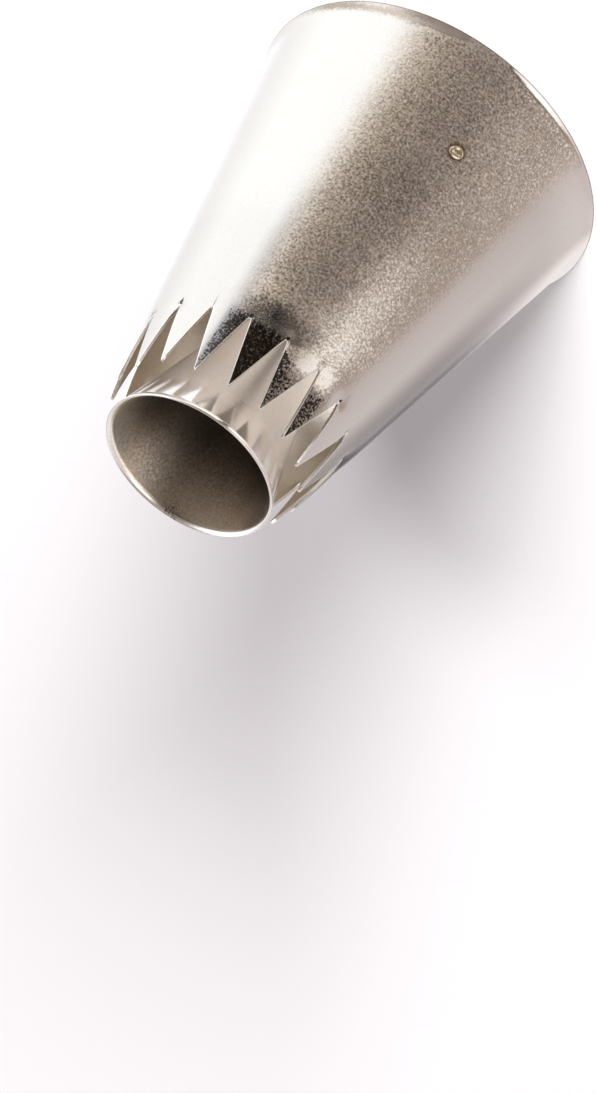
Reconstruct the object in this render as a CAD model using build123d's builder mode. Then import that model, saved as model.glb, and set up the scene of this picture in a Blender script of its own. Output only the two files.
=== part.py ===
from build123d import *
from math import asin, atan2, cos, degrees, radians, sin, tan
import os

# A double-cone nozzle for a piping bag: a toothed outer cone, and a hollow inner cone held on
# its axis by a strap, so that the filling leaves through the ring between the two.
# Millimetres. +Z runs up the common axis from the wide base to the teeth, and the origin is the
# centre of the base rim, in the plane that the nozzle stands on.

# Outer cone: its outer face, measured along the straight wall
base_radius = 25.0
tip_radius = 14.2
tip_height = 60.3
wall = 0.45
rim_flare_height = 2.2
rim_flare_radius = 5.7

# Teeth of the outer cone
tooth_count = 18
first_tooth_angle = 7.3
notch_depth = 9.7
notch_end_width = 0.35
tooth_point_width = 0.25
cut_overrun = 1.0

# Inner cone, placed by the ring-shaped outlet that it leaves inside the tooth tips
outlet_gap = 2.6
core_stand_out = 4.15
core_half_angle = radians(15.0)
core_wall = 0.5
core_nose_radius = 1.4
lip_flare_height = 0.9
lip_flare_radius = 1.5
lip_round_share = 0.4

# Bridge strap, bent from strip, with its legs along the wall
strap_width = 5.0
strap_thickness = 0.6
strap_bend_radius = 1.2
leg_length = 10.65
leg_corner_radius = 1.5
leg_clearance = 0.05

# Spot welds that join the legs to the wall
weld_edge_distance = 2.5
nugget_radius = 0.8
weld_ring_radius = 1.05
weld_ring_height = 0.12
weld_dimple_share = 0.55
weld_dimple_depth_share = 0.8
nugget_bulge = 0.15

# Weld bead between the nose of the inner cone and the crossbar
tip_weld_radius = 0.9
tip_bead_radius = 1.7
tip_bead_height = 0.55
tip_bead_top_share = 0.75
tip_cap_height = 0.3

# Outer cone: derived sizes
wall_angle = atan2(base_radius - tip_radius, tip_height)
wall_across = wall / cos(wall_angle)
rim_centre_height = rim_flare_height + rim_flare_radius * sin(wall_angle)
notch_height = tip_height - notch_depth
tooth_pitch = 360 / tooth_count


def outer_radius(height):
    """Radius of the outer cone's outer face, on its straight wall."""
    return base_radius - height * tan(wall_angle)


def inner_radius(height):
    """Radius of the outer cone's inner face, on its straight wall."""
    return outer_radius(height) - wall_across


rim_centre = (outer_radius(rim_flare_height) + rim_flare_radius * cos(wall_angle), rim_centre_height)

# Inner cone: derived sizes
mouth_height = tip_height + core_stand_out
core_radius_at_tips = inner_radius(tip_height) - outlet_gap
core_apex_height = tip_height - core_radius_at_tips / tan(core_half_angle)
nose_centre_height = core_apex_height + core_nose_radius / sin(core_half_angle)
nose_height = nose_centre_height - core_nose_radius
lip_start_height = mouth_height - lip_flare_height
lip_centre = (
    (lip_start_height - core_apex_height) * tan(core_half_angle) + lip_flare_radius * cos(core_half_angle),
    lip_start_height - lip_flare_radius * sin(core_half_angle),
)

# Bridge strap and welds: derived sizes
leg_end_height = nose_height - leg_length
weld_height = leg_end_height + weld_edge_distance
weld_stack = wall + leg_clearance + strap_thickness


def leg_outer_radius(height):
    """Radius of a leg's outer face, a clearance inside the wall."""
    return inner_radius(height) - leg_clearance / cos(wall_angle)


def leg_inner_radius(height):
    """Radius of a leg's inner face."""
    return leg_outer_radius(height) - strap_thickness / cos(wall_angle)


def flare_arc(centre, radius, start, reach, side):
    """Arc of a flared edge about its centre, from the wall's angle out to the plane of the edge.
    side is -1 where the flare runs down to the plane, and 1 where it runs up to it."""
    end = asin(reach / radius)
    return CenterArc(centre, radius, 180 - side * degrees(start), -side * degrees(end - start))


def weld_axis(side):
    """Axis of a spot weld, square to the wall and pointing outwards. side is -1 or 1 along Y."""
    return Axis(
        (0, side * outer_radius(weld_height), weld_height),
        (0, side * cos(wall_angle), sin(wall_angle)),
    )


def weld_face_plane(side):
    """Plane that touches the wall's outer face at a spot weld."""
    axis = weld_axis(side)
    return Plane(origin=axis.position, x_dir=(1, 0, 0), z_dir=axis.direction)


def weld_section_plane(side):
    """Plane through a spot weld's axis, with its second direction pointing out of the wall."""
    axis = weld_axis(side)
    return Plane(origin=axis.position, x_dir=(1, 0, 0), z_dir=Vector(1, 0, 0).cross(axis.direction))


os.makedirs("parts", exist_ok=True)

# Notch: the V that is punched out between two teeth, drawn on the plane square to +X
with BuildPart() as notch:
    with BuildSketch(Plane.YZ):
        half_end = notch_end_width / 2
        half_tip = tip_radius * sin(radians(tooth_pitch / 2)) - tooth_point_width / 2
        half_top = half_tip + (half_tip - half_end) * cut_overrun / notch_depth
        with BuildLine():
            Polyline(
                (-half_end, notch_height),
                (half_end, notch_height),
                (half_top, tip_height + cut_overrun),
                (-half_top, tip_height + cut_overrun),
                close=True,
            )
        make_face()
    extrude(amount=base_radius)

# Outer cone: a turned wall of even thickness with a flared rim, then the notches and weld holes
with BuildPart() as outer_cone:
    with BuildSketch(Plane.XZ):
        with BuildLine():
            outer_flare = flare_arc(rim_centre, rim_flare_radius, wall_angle, rim_centre_height, -1)
            inner_flare = flare_arc(rim_centre, rim_flare_radius + wall, wall_angle, rim_centre_height, -1)
            Polyline(
                outer_flare @ 0,
                (outer_radius(tip_height), tip_height),
                (inner_radius(tip_height), tip_height),
                inner_flare @ 0,
            )
            Line(outer_flare @ 1, inner_flare @ 1)
        make_face()
    revolve(axis=Axis.Z)
    with PolarLocations(0, tooth_count, start_angle=first_tooth_angle + tooth_pitch / 2):
        add(notch.part, mode=Mode.SUBTRACT)
    for weld_side in (-1, 1):
        with BuildSketch(weld_face_plane(weld_side)):
            Circle(nugget_radius)
        extrude(amount=weld_stack, both=True, mode=Mode.SUBTRACT)
outer_cone.part.label = "outer_cone"
export_step(outer_cone.part, "parts/outer_cone.step")

# Nose form: the inner cone's outside as a full body, used to shape the bead that hugs it
with BuildPart() as nose_form:
    with BuildSketch(Plane.XZ):
        with BuildLine():
            form_nose = CenterArc(
                (0, nose_centre_height), core_nose_radius, -90, 90 - degrees(core_half_angle)
            )
            Polyline(
                form_nose @ 1,
                (core_radius_at_tips, tip_height),
                (0, tip_height),
                form_nose @ 0,
            )
        make_face()
    revolve(axis=Axis.Z)

# Inner cone: a hollow wall closed by a round nose, with a belled mouth and a rounded lip
with BuildPart() as inner_cone:
    with BuildSketch(Plane.XZ) as core_profile:
        with BuildLine():
            nose_sweep = 90 - degrees(core_half_angle)
            lip_reach = lip_flare_height + lip_flare_radius * sin(core_half_angle)
            nose_outside = CenterArc((0, nose_centre_height), core_nose_radius, -90, nose_sweep)
            nose_inside = CenterArc((0, nose_centre_height), core_nose_radius - core_wall, -90, nose_sweep)
            lip_outside = flare_arc(lip_centre, lip_flare_radius, core_half_angle, lip_reach, 1)
            lip_inside = flare_arc(lip_centre, lip_flare_radius + core_wall, core_half_angle, lip_reach, 1)
            Line(nose_outside @ 0, nose_inside @ 0)
            Line(nose_outside @ 1, lip_outside @ 0)
            Line(nose_inside @ 1, lip_inside @ 0)
            Line(lip_outside @ 1, lip_inside @ 1)
        make_face()
        fillet(core_profile.vertices().group_by(Axis.Y)[-1], lip_round_share * core_wall)
    revolve(axis=Axis.Z)
inner_cone.part.label = "inner_cone"
export_step(inner_cone.part, "parts/inner_cone.step")

# Bridge strap: a cup that follows the wall, kept only where the strip crosses it
with BuildPart() as bridge_strap:
    with BuildSketch(Plane.XZ) as cup_profile:
        underside = nose_height - strap_thickness
        with BuildLine():
            Polyline(
                (0, nose_height),
                (leg_outer_radius(nose_height), nose_height),
                (leg_outer_radius(leg_end_height), leg_end_height),
                (leg_inner_radius(leg_end_height), leg_end_height),
                (leg_inner_radius(underside), underside),
                (0, underside),
                close=True,
            )
        make_face()
        outside_corner = (leg_outer_radius(nose_height), nose_height)
        inside_corner = (leg_inner_radius(underside), underside)
        fillet(
            cup_profile.vertices().sort_by_distance(outside_corner)[0],
            strap_bend_radius + strap_thickness,
        )
        fillet(cup_profile.vertices().sort_by_distance(inside_corner)[0], strap_bend_radius)
    revolve(axis=Axis.Z)
    with BuildSketch(Plane.XZ) as strip_outline:
        with Locations((0, leg_end_height)):
            Rectangle(strap_width, leg_length + cut_overrun, align=(Align.CENTER, Align.MIN))
        fillet(strip_outline.vertices().group_by(Axis.Y)[0], leg_corner_radius)
    extrude(amount=base_radius, both=True, mode=Mode.INTERSECT)
    for weld_side in (-1, 1):
        with BuildSketch(weld_face_plane(weld_side)):
            Circle(nugget_radius)
        extrude(amount=-(weld_stack + nugget_bulge), mode=Mode.SUBTRACT)
    with BuildSketch(Plane.XY.offset(nose_height)):
        Circle(tip_weld_radius)
    extrude(amount=-strap_thickness, mode=Mode.SUBTRACT)
bridge_strap.part.label = "bridge_strap"
export_step(bridge_strap.part, "parts/bridge_strap.step")

# Spot welds: a nugget through the wall and a leg, with a raised ring round a dimple outside
ring_crest_radius = (weld_ring_radius + weld_dimple_share * weld_ring_radius) / 2
dimple_height = weld_ring_height * (1 - weld_dimple_depth_share)
for weld_name, weld_side in (("wall_weld_near", -1), ("wall_weld_far", 1)):
    with BuildPart() as wall_weld:
        with BuildSketch(weld_section_plane(weld_side)):
            with BuildLine():
                Line((0, -weld_stack - nugget_bulge), (0, dimple_height))
                Line((0, dimple_height), (weld_dimple_share * weld_ring_radius, dimple_height))
                ThreePointArc(
                    (weld_dimple_share * weld_ring_radius, dimple_height),
                    (ring_crest_radius, weld_ring_height),
                    (weld_ring_radius, 0),
                )
                Polyline(
                    (weld_ring_radius, 0),
                    (weld_ring_radius, -wall / 2),
                    (nugget_radius, -wall / 2),
                    (nugget_radius, -weld_stack),
                )
                RadiusArc(
                    (nugget_radius, -weld_stack),
                    (0, -weld_stack - nugget_bulge),
                    (nugget_radius**2 + nugget_bulge**2) / (2 * nugget_bulge),
                )
            make_face()
        revolve(axis=weld_axis(weld_side))
        add(outer_cone.part, mode=Mode.SUBTRACT)
        add(bridge_strap.part, mode=Mode.SUBTRACT)
    wall_weld.part.label = weld_name
    export_step(wall_weld.part, f"parts/{weld_name}.step")

# Tip weld: fills the hole in the crossbar, caps it below and hugs the nose above
with BuildPart() as tip_weld:
    with BuildSketch(Plane.XZ):
        bar_underside = nose_height - strap_thickness
        with BuildLine():
            Polyline(
                (tip_weld_radius, bar_underside),
                (tip_weld_radius, nose_height),
                (tip_bead_radius, nose_height),
                (tip_bead_top_share * tip_bead_radius, nose_height + tip_bead_height),
                (0, nose_height + tip_bead_height),
                (0, bar_underside - tip_cap_height),
            )
            ThreePointArc(
                (0, bar_underside - tip_cap_height),
                (tip_weld_radius, bar_underside - tip_cap_height / 2),
                (tip_bead_radius, bar_underside),
            )
            Line((tip_bead_radius, bar_underside), (tip_weld_radius, bar_underside))
        make_face()
    revolve(axis=Axis.Z)
    add(nose_form.part, mode=Mode.SUBTRACT)
tip_weld.part.label = "tip_weld"
export_step(tip_weld.part, "parts/tip_weld.step")

print("inner cone: nose height", round(nose_height, 2), "mouth height", round(mouth_height, 2))
print("mouth outside radius", round((lip_outside @ 1).X, 2), "before its edge is rounded")
print("rim outside radius", round((outer_flare @ 1).X, 2), "spot weld height", round(weld_height, 2))
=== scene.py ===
# %% [markdown]
# # A double-cone piping nozzle in steel
#
# The nozzle is a pastry tool: a thin steel cone that ends in pointed teeth, with a second, hollow
# cone inside it. The filling leaves through the ring between the two. The CAD model gives every
# piece its size and place. This notebook gives each piece the surface that a camera sees: the
# crisp cut edges of the teeth, the fine grain of the wall, the smooth inner cone and the heat
# tint round the spot welds.

import bmesh
import bpy
import numpy as np
from mathutils import Matrix, Vector


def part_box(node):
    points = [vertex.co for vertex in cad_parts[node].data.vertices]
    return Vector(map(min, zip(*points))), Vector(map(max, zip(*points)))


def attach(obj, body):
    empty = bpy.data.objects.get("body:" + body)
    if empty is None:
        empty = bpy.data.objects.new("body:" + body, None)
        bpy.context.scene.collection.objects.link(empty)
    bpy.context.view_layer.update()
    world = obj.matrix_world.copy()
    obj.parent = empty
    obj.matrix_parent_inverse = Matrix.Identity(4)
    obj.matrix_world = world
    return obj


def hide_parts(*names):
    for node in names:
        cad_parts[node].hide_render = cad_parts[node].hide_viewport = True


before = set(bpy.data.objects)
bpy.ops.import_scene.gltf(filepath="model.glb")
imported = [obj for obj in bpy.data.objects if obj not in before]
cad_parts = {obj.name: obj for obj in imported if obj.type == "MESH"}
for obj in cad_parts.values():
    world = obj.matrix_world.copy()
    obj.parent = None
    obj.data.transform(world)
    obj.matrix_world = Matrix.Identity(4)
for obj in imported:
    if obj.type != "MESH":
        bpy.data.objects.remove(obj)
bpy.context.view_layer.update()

# %% [markdown]
# ## Sizes
#
# Lengths are in metres, and `mm` keeps them readable. What the frame can tell is read from it, and
# only the few sizes that a box doesn't show are written down, each where it is first needed. The
# wall's slope comes first, because its finish and its welds need it as well as its shape.

# %% Sizes of the wall
mm = 0.001
tip_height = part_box("outer_cone")[1].z
mouth_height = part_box("inner_cone")[1].z
base_radius = 25.0 * mm
tip_radius = 14.2 * mm
wall = 0.45 * mm
wall_slope = (base_radius - tip_radius) / tip_height
wall_angle = np.arctan(wall_slope)
print("tip height", round(tip_height / mm, 2), "mouth height", round(mouth_height / mm, 2))
print("the wall leans in by", round(np.degrees(wall_angle), 2), "degrees")

# %% [markdown]
# ## From a grid of points to a mesh
#
# Every piece here is a surface of two parameters: one runs round or along the piece, the other
# runs over its profile. Both are worked out as whole arrays. A closed profile carried round a
# closed ring gives a closed skin with no seam, so one helper can turn any such grid into a mesh.
# It also turns the faces outwards, by the sign of the volume that they enclose.


# %% Faces that point outwards
def outward(points, quads):
    """The quads, turned round if the volume that they enclose comes out negative. The volume is
    the sum, over triangles, of a sixth of a . (b x c)."""
    a, b, c, d = (points[quads[:, k]] for k in range(4))
    volume = np.einsum("ij,ij->i", a, np.cross(b, c)).sum() + np.einsum("ij,ij->i", a, np.cross(c, d)).sum()
    return quads if volume > 0 else quads[:, ::-1]


# %% A skin over a grid
def skin(name, grid, materials, bands=None, wrap=(True, True)):
    """Mesh object from a grid of points. Corner (i, j) joins (i+1, j), (i+1, j+1) and (i, j+1), and
    either direction may wrap round. bands gives the material of each step along the profile.
    Points that coincide, as at a pole, are merged, which closes the surface there."""
    rings, steps, _ = grid.shape
    points = grid.reshape(-1, 3)
    i = np.arange(rings if wrap[0] else rings - 1)
    j = np.arange(steps if wrap[1] else steps - 1)
    i, j = (m.ravel() for m in np.meshgrid(i, j, indexing="ij"))
    i_next, j_next = (i + 1) % rings, (j + 1) % steps
    quads = np.stack([i * steps + j, i_next * steps + j, i_next * steps + j_next, i * steps + j_next], -1)
    faces = outward(points, quads)
    mesh = bpy.data.meshes.new(name)
    mesh.vertices.add(len(points))
    mesh.vertices.foreach_set("co", points.astype(np.float32).ravel())
    mesh.loops.add(faces.size)
    mesh.loops.foreach_set("vertex_index", faces.astype(np.int32).ravel())
    mesh.polygons.add(len(faces))
    mesh.polygons.foreach_set("loop_start", np.arange(0, faces.size, 4, dtype=np.int32))
    for material in materials:
        mesh.materials.append(material)
    if bands is not None:
        mesh.polygons.foreach_set("material_index", np.asarray(bands, np.int32)[j])
    mesh.update()
    mesh.validate()
    merge_doubles(mesh)
    mesh.shade_smooth()
    piece = bpy.data.objects.new(name, mesh)
    bpy.context.scene.collection.objects.link(piece)
    print(name, "faces", len(mesh.polygons))
    return piece


def merge_doubles(mesh, reach=1e-8):
    """Joins points closer than reach, so that poles and seams are closed."""
    work = bmesh.new()
    work.from_mesh(mesh)
    bmesh.ops.remove_doubles(work, verts=work.verts, dist=reach)
    bmesh.ops.dissolve_degenerate(work, edges=work.edges, dist=reach)
    work.to_mesh(mesh)
    work.free()


# %% Turned surfaces, and the dressing of a node
def turned(angles, radius, height):
    """Grid of points of a turned surface: radius and height over the profile, carried round by the
    angles. radius and height may also differ from one angle to the next."""
    radius, height = np.broadcast_arrays(np.atleast_2d(radius), np.atleast_2d(height))
    shape = (len(angles), radius.shape[1])
    radius, height = np.broadcast_to(radius, shape), np.broadcast_to(height, shape)
    return np.stack([radius * np.cos(angles)[:, None], radius * np.sin(angles)[:, None], height], -1)


def dress(piece, cad_name):
    """Puts a finished piece on the part's only body, in place of the CAD node that it details."""
    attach(piece, "root")
    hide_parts(cad_name)
    return piece


# %% [markdown]
# ## Small helpers for nodes
#
# A material is a tree of nodes. Built by hand, every node takes several lines, so these helpers
# make the few kinds that steel needs in one line each. Every value that they take is either a
# socket of another node or a plain number or colour.


# %% One node
def node(tree, kind, **values):
    """Adds a node, and sets its properties or the values of its named inputs."""
    made = tree.nodes.new(kind)
    for key, value in values.items():
        if hasattr(made, key):
            setattr(made, key, value)
        else:
            made.inputs[key.replace("_", " ")].default_value = value
    return made


def feed(tree, socket, value):
    """Links a socket into another one, or sets a plain number or vector there."""
    if isinstance(value, (int, float, tuple)):
        socket.default_value = value
    else:
        tree.links.new(value, socket)


def attribute(tree, label):
    """The number that the mesh keeps under a label at every point, as a node."""
    return node(tree, "ShaderNodeAttribute", attribute_name=label)


# %% Arithmetic with nodes
def number(tree, operation, *values):
    """The result of a Math node."""
    made = node(tree, "ShaderNodeMath", operation=operation)
    for socket, value in zip(made.inputs, values):
        feed(tree, socket, value)
    return made.outputs[0]


def vector(tree, operation, *values):
    """The result of a Vector Math node."""
    made = node(tree, "ShaderNodeVectorMath", operation=operation)
    for socket, value in zip(made.inputs, values):
        feed(tree, socket, value)
    return made.outputs[0]


def scaled(tree, finish, factor):
    """The colour times a factor."""
    made = node(tree, "ShaderNodeVectorMath", operation="SCALE")
    tree.links.new(finish, made.inputs[0])
    feed(tree, made.inputs["Scale"], factor)
    return made.outputs[0]


def spread(tree, value, low, high, to_low, to_high):
    """Maps value from one range onto another, smoothly and without running past its ends."""
    made = node(tree, "ShaderNodeMapRange", interpolation_type="SMOOTHSTEP")
    for key, end in (("From Min", low), ("From Max", high), ("To Min", to_low), ("To Max", to_high)):
        made.inputs[key].default_value = end
    tree.links.new(value, made.inputs["Value"])
    return made.outputs["Result"]


def mixed(tree, share, first, second):
    """Mixes two colours, each a socket or a plain colour, by the share."""
    made = node(tree, "ShaderNodeMix", data_type="RGBA")
    tree.links.new(share, made.inputs["Factor"])
    for key, value in (("A", first), ("B", second)):
        socket = next(s for s in made.inputs if s.name == key and s.type == "RGBA")
        feed(tree, socket, (*value, 1.0) if isinstance(value, tuple) else value)
    return next(s for s in made.outputs if s.type == "RGBA")


# %% [markdown]
# The patterns read Object coordinates: the place on the piece itself, in metres. So they stay on
# the metal when the piece moves, and their scales are large numbers.


# %% Patterns by place
def object_place(tree):
    """The point that is shaded, in the piece's own coordinates."""
    return node(tree, "ShaderNodeTexCoord").outputs["Object"]


def place_part(tree, axis):
    """One coordinate of the point that is shaded: X, Y or Z, in metres."""
    parts = node(tree, "ShaderNodeSeparateXYZ")
    tree.links.new(object_place(tree), parts.inputs[0])
    return parts.outputs[axis]


def distance_from(tree, place):
    """How far the point that is shaded lies from a place."""
    away = node(tree, "ShaderNodeVectorMath", operation="DISTANCE")
    tree.links.new(object_place(tree), away.inputs[0])
    away.inputs[1].default_value = place
    return away.outputs["Value"]


def noise(tree, grain, detail=2.0, roughness=0.5):
    """Noise whose pattern repeats about every `grain` metres."""
    made = node(tree, "ShaderNodeTexNoise", Scale=1.0 / grain, Detail=detail, Roughness=roughness)
    tree.links.new(object_place(tree), made.inputs["Vector"])
    return made


# %% [markdown]
# ## Steel
#
# All the pieces are stainless steel, so one function makes every finish. Steel has no colour of its
# own beyond a warm grey tint: its look comes from how rough it is, and from what each small facet
# of it mirrors. Roughness alone blurs evenly and looks like plastic. So a fine noise also tips the
# surface from grain to grain, and every grain mirrors another part of the room, as on blasted
# sheet. A slower noise bends the sheet and varies the roughness, which keeps large areas alive.


# %% Colour of the steel
straw_brown = (0.42, 0.33, 0.22)
dark_brown = (0.16, 0.10, 0.05)
# deep_grey and the two speck colours are painted shade and dark reflections on the teeth.
deep_grey = (0.17, 0.175, 0.185)
cool_speck = (0.047, 0.043, 0.041)
warm_speck = (0.042, 0.030, 0.021)


def heat_tint(tree, finish, place, reach, strength):
    """Browns the finish round a weld: full close to it, gone at reach, with the oxide colour
    passing from dark brown to straw on the way out."""
    away = distance_from(tree, place)
    straw = mixed(tree, spread(tree, away, 0.75 * reach, reach, strength, 0.0), finish, straw_brown)
    return mixed(tree, spread(tree, away, 0.6 * reach, 0.85 * reach, strength, 0.0), straw, dark_brown)


def with_painted_dark_grains(tree, finish, fine):
    """Paints shade and dark reflections: greys the steel by the painted_grey attribute, and darkens
    those grains where the painted_dark_specks attribute lifts the fine noise over a threshold. The
    painted specks are warm in deep grey, and cool elsewhere."""
    painted_grey = attribute(tree, "painted_grey").outputs["Fac"]
    finish = mixed(tree, spread(tree, painted_grey, 0.0, 1.0, 0.0, 0.9), finish, deep_grey)
    mark = number(tree, "ADD", attribute(tree, "painted_dark_specks").outputs["Fac"], fine.outputs["Fac"])
    speck = mixed(tree, spread(tree, painted_grey, 0.5, 1.0, 0.0, 1.0), cool_speck, warm_speck)
    return mixed(tree, spread(tree, mark, 0.96, 1.14, 0.0, 1.0), finish, speck)


def steel_colour(tree, fine, slow, light, dark, side, tints, uneven):
    """Mixes light and dark by the fine noise and evens them out a little by the slow one. Then come
    the changes by place, with painted light and shade, the heat tints, and the painted dark grains
    and grey."""
    grainy = mixed(tree, spread(tree, fine.outputs["Fac"], 0.32, 0.68, 0.0, 1.0), dark, light)
    shade = tuple(0.5 * (a + b) for a, b in zip(light, dark))
    finish = mixed(tree, spread(tree, slow.outputs["Fac"], 0.35, 0.7, 0.0, 0.35), grainy, shade)
    if side is not None:
        finish = side(tree, finish)
    for place, reach, strength in tints:
        finish = heat_tint(tree, finish, place, reach, strength)
    return with_painted_dark_grains(tree, finish, fine) if uneven else finish


# %% Roughness and tilt of the steel
matt_roughness = 0.2
grey_tilt = 2.4
polished_tilt = 0.1


def steel_roughness(tree, slow, rough, rough_spread, dull, uneven):
    """Roughness by the slow noise, with more below a height on a dulled piece, and more by the matt
    attribute on an uneven one."""
    roughness = spread(tree, slow.outputs["Fac"], 0.3, 0.7, rough - rough_spread, rough + rough_spread)
    if dull is not None:
        low, high, added = dull
        added = spread(tree, place_part(tree, "Z"), low, high, added, 0.0)
        roughness = number(tree, "ADD", roughness, added)
    if uneven:
        matt = attribute(tree, "matt").outputs["Fac"]
        roughness = number(tree, "MULTIPLY_ADD", matt, matt_roughness, roughness)
    return roughness


def steel_normal(tree, fine, slow, tilt, wave, polish, uneven):
    """The direction that each grain faces: the surface's own, with the slow waves, plus a random
    tip across and along the axis, made a unit vector again. Polish takes most of the tip away
    above a height, the painted grey enlarges it, and the bend attribute tips the surface upwards."""
    relief = node(tree, "ShaderNodeBump", Strength=1.0, Distance=wave)
    tree.links.new(slow.outputs["Fac"], relief.inputs["Height"])
    centred = vector(tree, "SUBTRACT", fine.outputs["Color"], (0.5, 0.5, 0.5))
    tip = vector(tree, "MULTIPLY", centred, (tilt[0], tilt[0], tilt[1]))
    if polish is not None:
        tip = scaled(tree, tip, spread(tree, place_part(tree, "Z"), *polish, 1.0, polished_tilt))
    if uneven:
        painted_grey = attribute(tree, "painted_grey").outputs["Fac"]
        tip = scaled(tree, tip, spread(tree, painted_grey, 0.0, 1.0, 1.0, grey_tilt))
        upwards = node(tree, "ShaderNodeCombineXYZ")
        tree.links.new(attribute(tree, "bend").outputs["Fac"], upwards.inputs["Z"])
        tip = vector(tree, "ADD", tip, upwards.outputs[0])
    return vector(tree, "NORMALIZE", vector(tree, "ADD", relief.outputs["Normal"], tip))


# %% The steel function
def steel(
    name,
    light,
    dark,
    rough,
    rough_spread,
    grain,
    tilt,
    wave=0.0,
    polish=None,
    dull=None,
    tints=(),
    side=None,
    uneven=False,
):
    """A steel finish. light and dark are the two ends of its grain, rough its roughness and how far
    that varies, grain the width of the grain, and tilt how far the grain tips the surface, across
    and along the axis. wave is the height of slow waves in the sheet. polish gives two heights
    between which the grain fades out, and dull gives two heights and the roughness that is added
    below them. tints lists places where welding heat has browned the metal, and side is a function
    that changes the colour by place, with painted light and shade, and with pits. An uneven finish
    reads five attributes of the mesh: painted_dark_specks darkens it grain by grain and painted_grey
    greys it and coarsens the grain, both painted shade and dark reflections; edge dims it with painted
    shade where it is seen edge-on, matt adds roughness, and bend tips the surface upwards."""
    material = bpy.data.materials.new(name)
    material.use_nodes = True
    tree = material.node_tree
    surface = tree.nodes["Principled BSDF"]
    surface.inputs["Metallic"].default_value = 1.0
    fine = noise(tree, grain, 1.5, 0.6)
    slow = noise(tree, 6 * mm, 3.0)
    finish = steel_colour(tree, fine, slow, light, dark, side, tints, uneven)
    tree.links.new(finish, surface.inputs["Base Color"])
    roughness = steel_roughness(tree, slow, rough, rough_spread, dull, uneven)
    tree.links.new(roughness, surface.inputs["Roughness"])
    normal = steel_normal(tree, fine, slow, tilt, wave, polish, uneven)
    tree.links.new(normal, surface.inputs["Normal"])
    # The edge attribute dims the steel's reflection where one side of the wall is seen edge-on: painted
    # shade.
    if uneven:
        tree.links.new(attribute(tree, "edge").outputs["Color"], surface.inputs["Specular Tint"])
    print(name, "nodes", len(tree.nodes))
    return material


# %% [markdown]
# ## Where the spot welds sit
#
# Two spot welds hold the strap's legs to the wall. Their place is needed twice: for the raised ring
# itself, and for the heat tint that it leaves on the wall around it.

# %% Places of the spot welds
weld_sink = 0.03 * mm
weld_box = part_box("wall_weld_near")
weld_height = 0.5 * (weld_box[0].z + weld_box[1].z) - weld_sink
weld_radius = base_radius - weld_height * wall_slope
weld_places = {
    "wall_weld_near": Vector((0, -weld_radius, weld_height)),
    "wall_weld_far": Vector((0, weld_radius, weld_height)),
}
print("spot weld height", round(weld_height / mm, 2))

# %% [markdown]
# ## The wall's finish
#
# The outer cone has a satin grain. In the picture its two sides run from light to dark with the
# height, by more than the painted studio alone gives. What causes that isn't known: it may be wear,
# or light that the studio lacks. That light and shade is painted into the steel here: these changes
# are set to follow the picture, and they stay in the steel under any other light. Vertex paint
# could carry them, but they are slow and regular, so they are a function of two coordinates: the
# height, and X over the wall's radius, which runs from -1 on one side to 1 on the other.


# %% The light and dark sides of the wall
def across_wall(tree):
    """X over the wall's radius at the height of the point that is shaded."""
    radius = number(tree, "MULTIPLY_ADD", place_part(tree, "Z"), -float(wall_slope), base_radius)
    return number(tree, "DIVIDE", place_part(tree, "X"), radius)


def painted_light_and_shade_on_sides(tree, finish):
    """Paints light and shade into the colour: scales it by height, inside masks that run across the wall.
    """
    across = across_wall(tree)
    up = place_part(tree, "Z")
    # Each step scales the colour with the height on one part of the wall: painted shade where it darkens,
    # painted light where it brightens.
    painted_shade_by_height = scaled(tree, finish, spread(tree, up, 2 * mm, 36 * mm, 1.0, 0.34))
    finish = mixed(tree, spread(tree, across, -0.95, -0.74, 1.0, 0.0), finish, painted_shade_by_height)
    brightened = scaled(tree, finish, spread(tree, up, 6 * mm, 26 * mm, 1.65, 1.0))
    finish = mixed(tree, spread(tree, across, -0.97, -0.89, 1.0, 0.0), finish, brightened)
    bright_rim = scaled(tree, finish, spread(tree, up, 3 * mm, 11 * mm, 1.12, 1.0))
    finish = mixed(tree, spread(tree, across, -0.6, -0.4, 1.0, 0.0), finish, bright_rim)
    soft_end = scaled(tree, finish, spread(tree, up, 26 * mm, 38 * mm, 1.0, 0.78))
    finish = mixed(tree, spread(tree, across, 0.50, 0.58, 0.0, 1.0), finish, soft_end)
    lighter = scaled(tree, finish, spread(tree, up, 26 * mm, 38 * mm, 1.0, 1.22))
    return mixed(tree, spread(tree, across, 0.60, 0.70, 0.0, 1.0), finish, lighter)


# %% Finishes of the outer cone
tint_reach = 1.55 * mm
tint_strength = 0.9
weld_tints = [(tuple(place), tint_reach, tint_strength) for place in weld_places.values()]
satin_wall = steel(
    "satin_wall",
    (0.62, 0.57, 0.515),
    (0.60, 0.55, 0.495),
    0.18,
    0.02,
    0.32 * mm,
    (0.07, 0.23),
    wave=0.04 * mm,
    tints=weld_tints,
    side=painted_light_and_shade_on_sides,
    uneven=True,
)
inside_wall = steel(
    "inside_wall", (0.80, 0.72, 0.62), (0.74, 0.66, 0.56), 0.34, 0.03, 0.5 * mm, (0.10, 0.10)
)
# The cut edges are a brighter steel than the wall: a painted highlight.
cut_edge_highlight = steel("cut_edge_highlight", (0.95, 0.92, 0.88), (0.90, 0.86, 0.81), 0.22, 0.03, 0.3 * mm, (0.1, 0.1))
# The rim's edge is a darker steel: painted shade where the rim meets the floor.
rim_edge_shade = steel("rim_edge_shade", (0.42, 0.38, 0.35), (0.34, 0.31, 0.28), 0.25, 0.03, 0.4 * mm, (0.05, 0.05))

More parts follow.
